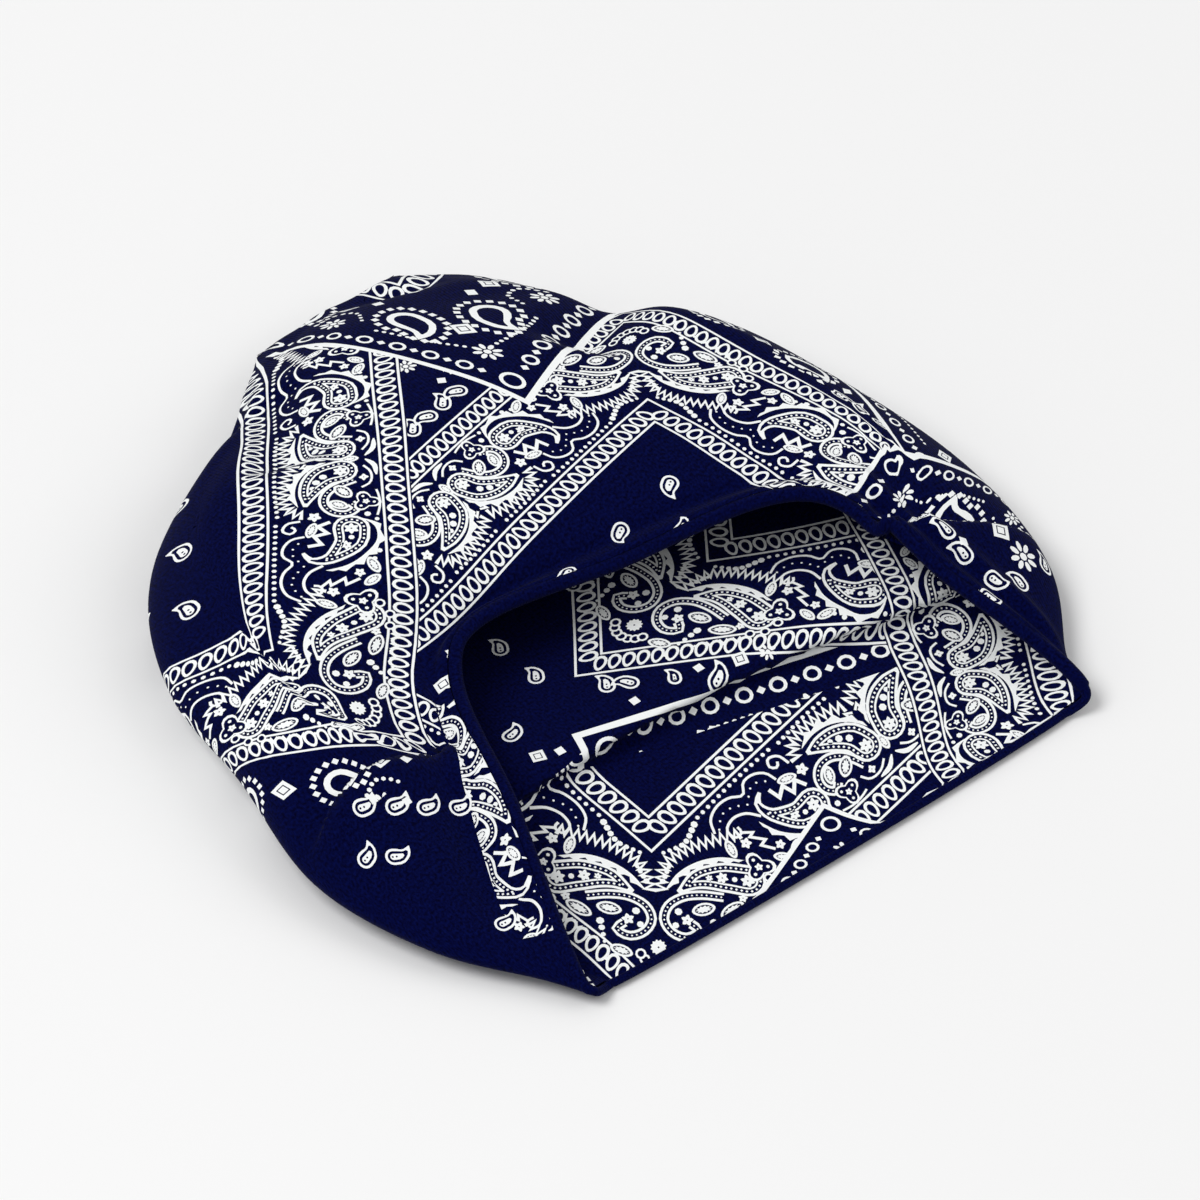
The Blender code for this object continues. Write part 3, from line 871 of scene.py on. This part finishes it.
def placed_outlines(prints, low, high):
    """The outlines of all squares that can show on the cloth, as (rank, ink, points)."""
    squares, bare, strays = prints
    art = bandana()
    found = []
    grounds = []
    for x, y, right_x, right_y, up_x, up_y, x0, y0, x1, y1 in squares:
        matrix = np.array(((right_x, right_y), (up_x, up_y)))
        kept = np.array(((x0, y0), (x1, y0), (x1, y1), (x0, y1)))
        grounds.append((kept @ matrix + (x, y), matrix, (x, y), (x0, y0), (x1, y1)))
    for number, (ground, matrix, middle, least, most) in enumerate(grounds):
        found.append(((number, 0), 0, ground))
        for rank, motif in enumerate(art):
            for outline in motif:
                points = outline @ matrix + middle
                if (points.max(axis=0) < low).any() or (points.min(axis=0) > high).any():
                    continue
                if (outline.max(axis=0) < least).any() or (outline.min(axis=0) > most).any():
                    continue
                hidden = any(inside(points, later[0]).all() for later in grounds[number + 1 :])
                if not hidden:
                    found.append(((number, rank), 1, points))
    for number, patch in enumerate(bare, len(grounds)):
        found.append(((number, 0), 0, np.array(patch, dtype=float)))
    number, rank = len(grounds) + len(bare), 0
    for kind, size, *copies in strays:
        motif = kind(size) if kind is drop else kind(0, 0, size)
        for x, y, turn in copies:
            rank += 1
            found += [((number, rank), 1, points) for points in moved(motif, x, y, turn)]
    return found


def on_weave(outlines, flat):
    """The outlines carried from flat cloth to the weave's own grid of columns and rows."""
    rows, columns = flat.shape[:2]
    at = np.arange(rows * columns).reshape(rows, columns)
    quads = np.stack((at[:-1, :-1], at[:-1, 1:], at[1:, 1:], at[1:, :-1]), axis=2).reshape(-1, 4)
    faces = np.concatenate((quads[:, (0, 1, 2)], quads[:, (0, 2, 3)]))
    spread = flat.reshape(-1, 2)
    tree = BVHTree.FromPolygons([(x, y, 0.0) for x, y in spread], faces.tolist(), all_triangles=True)
    weave = np.stack((at % columns, at // columns), axis=2).reshape(-1, 2).astype(float)
    carried = []
    for rank, ink, outline in outlines:
        places, strays = [], 0
        for x, y in stepped(outline):
            _, _, face, distance = tree.find_nearest((x, y, 0.0))
            a, b, c = (spread[index] for index in faces[face])
            area = (b[0] - a[0]) * (c[1] - a[1]) - (b[1] - a[1]) * (c[0] - a[0])
            second = ((x - a[0]) * (c[1] - a[1]) - (y - a[1]) * (c[0] - a[0])) / area
            third = ((b[0] - a[0]) * (y - a[1]) - (b[1] - a[1]) * (x - a[0])) / area
            weights = np.clip((1 - second - third, second, third), 0, 1)
            places.append(weights / weights.sum() @ weave[faces[face]])
            strays += distance > STRAY
        if strays < len(places):
            carried.append((rank, ink, np.array(places)))
    return carried


def inked_faces(middles, outlines):
    """Which faces carry ink: those inside an odd number of outlines of the motif that lies on top."""
    grounds = {rank[0]: inside(middles, outline) for rank, ink, outline in outlines if not ink}
    order = np.argsort(middles[:, 0])
    sorted_middles = middles[order]
    top = np.full((len(middles), 2), -1)
    total = np.zeros(len(middles), dtype=int)
    for rank, ink, outline in outlines:
        low, high = outline.min(axis=0), outline.max(axis=0)
        first, last = np.searchsorted(sorted_middles[:, 0], (low[0], high[0]))
        near = order[first:last]
        near = near[(middles[near, 1] > low[1]) & (middles[near, 1] < high[1])]
        near = near[inside(middles[near], outline)]
        if rank[0] in grounds:
            near = near[grounds[rank[0]][near]]
        same = (top[near] == rank).all(axis=1)
        higher = (top[near, 0] < rank[0]) | ((top[near, 0] == rank[0]) & (top[near, 1] < rank[1]))
        total[near[same]] += ink
        total[near[higher]] = ink
        top[near[higher]] = rank
    return total % 2


def read_weave(values, places):
    """Values kept on the weave's grid, read at other places between its points."""
    column = np.clip(np.floor(places[:, 0]).astype(int), 0, values.shape[1] - 2)
    row = np.clip(np.floor(places[:, 1]).astype(int), 0, values.shape[0] - 2)
    u = (places[:, 0] - column)[:, None]
    v = (places[:, 1] - row)[:, None]
    near = values[row, column] * (1 - u) + values[row, column + 1] * u
    far = values[row + 1, column] * (1 - u) + values[row + 1, column + 1] * u
    return near * (1 - v) + far * v


def cut_weave(normals, outlines):
    """The sheet's grid cut along the print's outlines, as places on the grid and triangles.

    Every second point of the grid is enough where the cloth is nearly flat."""
    columns, rows = np.meshgrid(np.arange(COLUMNS + 1.0), np.arange(float(ROWS)))
    turning = 1 - (normals[1:-1, 1:-1] * (normals[2:, 2:] + normals[:-2, :-2]) / 2).sum(axis=2)
    kept = (columns % 2 == 0) & (rows % 2 == 0)
    kept[1:-1, 1:-1] |= turning > SHARP_TURN
    kept[(0, -1), :] = kept[:, (0, -1)] = True
    points = [np.stack((columns[kept], rows[kept]), axis=1)]
    count, edges = len(points[0]), []
    for _, _, outline in outlines:
        at = count + np.arange(len(outline))
        edges += np.stack((at, np.roll(at, -1)), axis=1).tolist()
        points.append(outline)
        count += len(outline)
    points = np.concatenate(points).tolist()
    places, _, faces, _, _, _ = delaunay_2d_cdt(points, edges, [], 0, CUT_CLOSENESS, False)
    return np.array(places), np.array(faces)


def lay_flat(mesh, spread):
    """Gives the mesh a map that holds the cloth's own flat places, and returns its corners."""
    corners = np.empty(len(mesh.loops), dtype=np.int32)
    mesh.loops.foreach_get("vertex_index", corners)
    mesh.uv_layers.new(name="cloth").data.foreach_set("uv", spread[corners].ravel())
    return corners


def cloth_object(name, points, faces, materials):
    """A smooth mesh of cloth in the scene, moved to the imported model's own middle."""
    mesh = bpy.data.meshes.new(name)
    mesh.from_pydata((points - PLAN_MIDDLE).tolist(), [], faces.tolist())
    for material in materials:
        mesh.materials.append(material)
    mesh.polygons.foreach_set("use_smooth", [True] * len(faces))
    cloth = bpy.data.objects.new(name, mesh)
    scene.collection.objects.link(cloth)
    return cloth


def printed_cloth(name, surface, unfolded, middle, facing, prints, materials):
    """A sheet of cloth in the shape of the surface, with the print cut into it as inked faces.

    The print lies on the cloth as it was before the folds were pressed in."""
    order, flat = flat_places(unfolded, middle, facing)
    opened = surface[:, order]
    flat = eased(flat, opened)
    normals = normals_of(surface)[:, order] * -facing
    outlines = placed_outlines(prints, flat.min(axis=(0, 1)), flat.max(axis=(0, 1)))
    outlines = on_weave(outlines, flat)
    places, faces = cut_weave(normals, outlines)
    if facing < 0:
        faces = faces[:, ::-1]
    inked = inked_faces(places[faces].mean(axis=1), outlines)
    cloth = cloth_object(name, read_weave(opened, places), faces, materials)
    cloth.data.polygons.foreach_set("material_index", inked.tolist())
    corners = lay_flat(cloth.data, read_weave(flat, places) / 1000)
    bends = read_weave(normals, places)
    bends = bends / np.linalg.norm(bends, axis=1)[:, None]
    cloth.data.normals_split_custom_set(bends[corners].tolist())
    return cloth


def linear(hex_colour):
    """An sRGB hex colour as the linear values that a shader takes."""
    parts = [int(hex_colour[k : k + 2], 16) / 255 for k in (1, 3, 5)]
    return [c / 12.92 if c <= 0.04045 else ((c + 0.055) / 1.055) ** 2.4 for c in parts] + [1.0]


def add_node(tree, kind, settings, inputs=(), links=()):
    """Adds one node with its properties, its sockets' values and its links from other nodes."""
    node = tree.nodes.new(kind)
    for key, value in dict(settings).items():
        setattr(node, key, value)
    for key, value in dict(inputs).items():
        node.inputs[key].default_value = value
    for key, output in dict(links).items():
        tree.links.new(output, node.inputs[key])
    return node


def cloth_material(name, light, dark, roughness, bump):
    """Cotton jersey: fine knitted ribs that take the shine off, and a dye or ink that is never quite
    even, so that the eye reads soft, dull cloth and no paint."""
    material = bpy.data.materials.new(name)
    material.use_nodes = True
    tree = material.node_tree
    tree.nodes.clear()
    place = add_node(tree, "ShaderNodeUVMap", {"uv_map": "cloth"}).outputs["UV"]
    grain = {"Scale": 950.0, "Detail": 3.0, "Roughness": 0.6}
    mottle = add_node(tree, "ShaderNodeTexNoise", (), grain, {"Vector": place})
    colour = add_node(tree, "ShaderNodeValToRGB", (), (), {"Fac": mottle.outputs["Fac"]})
    for element, position, shade in zip(colour.color_ramp.elements, (0.35, 0.75), (dark, light)):
        element.position = position
        element.color = linear(shade)
    knit = {"Scale": 300.0, "Distortion": 2.0, "Detail": 1.0}
    ribs = add_node(tree, "ShaderNodeTexWave", {"bands_direction": "X"}, knit, {"Vector": place})
    depth = {"Strength": bump, "Distance": 0.0004}
    relief = add_node(tree, "ShaderNodeBump", (), depth, {"Height": ribs.outputs["Fac"]})
    dull = {"Roughness": roughness, "Sheen Weight": 0.02, "Sheen Roughness": 0.5}
    dull["Specular IOR Level"] = 0.03
    look = {"Base Color": colour.outputs["Color"], "Normal": relief.outputs["Normal"]}
    shader = add_node(tree, "ShaderNodeBsdfPrincipled", (), dull, look)
    add_node(tree, "ShaderNodeOutputMaterial", (), (), {"Surface": shader.outputs["BSDF"]})
    return material


# The rolled edge is a tube with this many sides. Between these parts of the loop, along the lower
# edge of the mouth, it is stretched thinner by a share of its thickness.
ROLL_SIDES = 14
LOWER_EDGE = (0.47, 1.03)
LOWER_FADE = 0.06
HEM_THINNING = 0.42


def rim_tube(path, outward, thickness, material):
    """The rolled edge, as a fine tube along the mouth's edge."""
    ahead = np.roll(path, -1, axis=0) - np.roll(path, 1, axis=0)
    ahead = ahead / np.linalg.norm(ahead, axis=1)[:, None]
    side = outward - ahead * (outward * ahead).sum(axis=1)[:, None]
    side = side / np.linalg.norm(side, axis=1)[:, None]
    up = np.cross(ahead, side)
    share = np.arange(ROLL_SIDES) / ROLL_SIDES
    turn = 2 * np.pi * share[None, :, None]
    ring_points = side[:, None] * np.cos(turn) + up[:, None] * np.sin(turn)
    begin, end = LOWER_EDGE
    slack = smooth_step((TURN - begin) / LOWER_FADE) * smooth_step((end - TURN) / LOWER_FADE)
    radius = thickness / 2 * (1 - HEM_THINNING * slack)
    points = path[:, None] + radius[:, None, None] * ring_points
    points[..., 2] = np.maximum(points[..., 2], 0)
    at = np.arange(COLUMNS * ROLL_SIDES).reshape(COLUMNS, ROLL_SIDES)
    after, over = np.roll(at, -1, axis=0), np.roll(at, -1, axis=1)
    far = np.roll(after, -1, axis=1)
    faces = np.stack((at, over, far, after), axis=2).reshape(-1, 4)
    edge = cloth_object("rolled_edge", points.reshape(-1, 3), faces, [material])
    round_by = thickness * np.pi * share
    spread = np.stack(np.broadcast_arrays(walked(path)[:, None], round_by[None]), axis=2)
    lay_flat(edge.data, spread.reshape(-1, 2))
    return edge


# Deep navy dye that goes nearly black in the folds and gives the hat its weight.
navy = cloth_material("navy_cotton_jersey", "#040d48", "#00001e", 0.9, 0.25)
# Printed white that lies on the knit and fills its ribs, bright against the navy and quite matt.
ink = cloth_material("white_ink_on_jersey", "#fdfefc", "#f4f7f8", 0.8, 0.15)

# Both sheets begin this far from the mouth's edge, inside the roll.
SHEET_START = 0.0015

stack_depth = SHELL_WALL + LAYER_GAP + LINING_WALL
plain = bag()
fine = folded(plain, "upper")
out_of_mouth = fine[0] - fine[4]
edge_path = fine[0] - stack_depth / 2 * normals_of(fine)[0]
edge_path[:, 2] = np.maximum(edge_path[:, 2], ROLL_THICKNESS / 2)
shell = laid_out(with_rim_ridges(fine), SHEET_START)
inner = tucked_inside(folded(moved_in(shell, stack_depth), "floor"), shell, SHELL_WALL)
plain_shell = laid_out(plain, SHEET_START)

shell_prints = (SHELL_SQUARES, SHELL_BARE, SHELL_STRAYS)
outer_cloth = printed_cloth(
    "outer_cloth", shell, plain_shell, UPPER_MIDDLE, -1, shell_prints, (navy, ink)
)
lining_prints = (LINING_SQUARES, (), LINING_STRAYS)
lining_cloth = printed_cloth(
    "lining_cloth", inner, inner, FLOOR_MIDDLE, 1, lining_prints, (navy, ink)
)
rolled = rim_tube(edge_path, out_of_mouth, ROLL_THICKNESS, navy)

for piece, node in ((outer_cloth, "outer_shell"), (lining_cloth, "lining"), (rolled, "rim_roll")):
    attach(piece, "root")
    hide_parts(node)

# A pale studio floor, two big soft lights and an even white surround.
bpy.ops.mesh.primitive_plane_add(size=12.0, location=(0, 0, 0))
floor = bpy.context.active_object
floor.name = "studio_floor"
# Matt, nearly white paper that takes only a faint shadow.
pale = bpy.data.materials.new("pale_studio_paper")
pale.use_nodes = True
pale_shader = pale.node_tree.nodes["Principled BSDF"]
pale_shader.inputs["Base Color"].default_value = linear("#f6f6f6")
pale_shader.inputs["Roughness"].default_value = 0.9
pale_shader.inputs["Specular IOR Level"].default_value = 0.1
floor.data.materials.append(pale)

world = bpy.data.worlds.new("studio")
scene.world = world
world.use_nodes = True
world.node_tree.nodes["Background"].inputs["Color"].default_value = (1, 1, 1, 1)
world.node_tree.nodes["Background"].inputs["Strength"].default_value = 0.5
scene.view_settings.view_transform = "Standard"


def soft_light(name, location, size, power):
    """A big round lamp that shines at the hat."""
    light = bpy.data.lights.new(name, "AREA")
    light.shape = "DISK"
    light.size = size
    light.energy = power
    lamp = bpy.data.objects.new(name, light)
    lamp.location = location
    lamp.rotation_euler = (-Vector(location)).to_track_quat("-Z", "Y").to_euler()
    scene.collection.objects.link(lamp)


soft_light("key", (-1.8, 0.6, 3.2), 2.2, 70.0)
soft_light("fill", (2.4, -1.8, 2.6), 2.8, 27.0)

# The camera looks down from the front left, from far off, so that the picture is nearly parallel.
AZIMUTH, ELEVATION = np.radians(-38.5), np.radians(48.0)
FRAME_WIDTH = 0.372
AIM_RIGHT, AIM_UP = 0.01435, 0.00787
LENS = 1200.0
SENSOR = 36.0
level = np.array((np.sin(AZIMUTH), -np.cos(AZIMUTH), 0.0))
back = level * np.cos(ELEVATION) + (0, 0, np.sin(ELEVATION))
right = np.array((np.cos(AZIMUTH), np.sin(AZIMUTH), 0.0))
aim = AIM_RIGHT * right + AIM_UP * np.cross(back, right)
camera_data = bpy.data.cameras.new("camera")
camera_data.lens = LENS
camera_data.sensor_width = SENSOR
camera_data.clip_end = 60.0
camera = bpy.data.objects.new("camera", camera_data)
camera.location = aim + back * (FRAME_WIDTH * LENS / SENSOR)
camera.rotation_mode = "QUATERNION"
camera.rotation_quaternion = Vector(-back).to_track_quat("-Z", "Y")
scene.collection.objects.link(camera)
scene.camera = camera
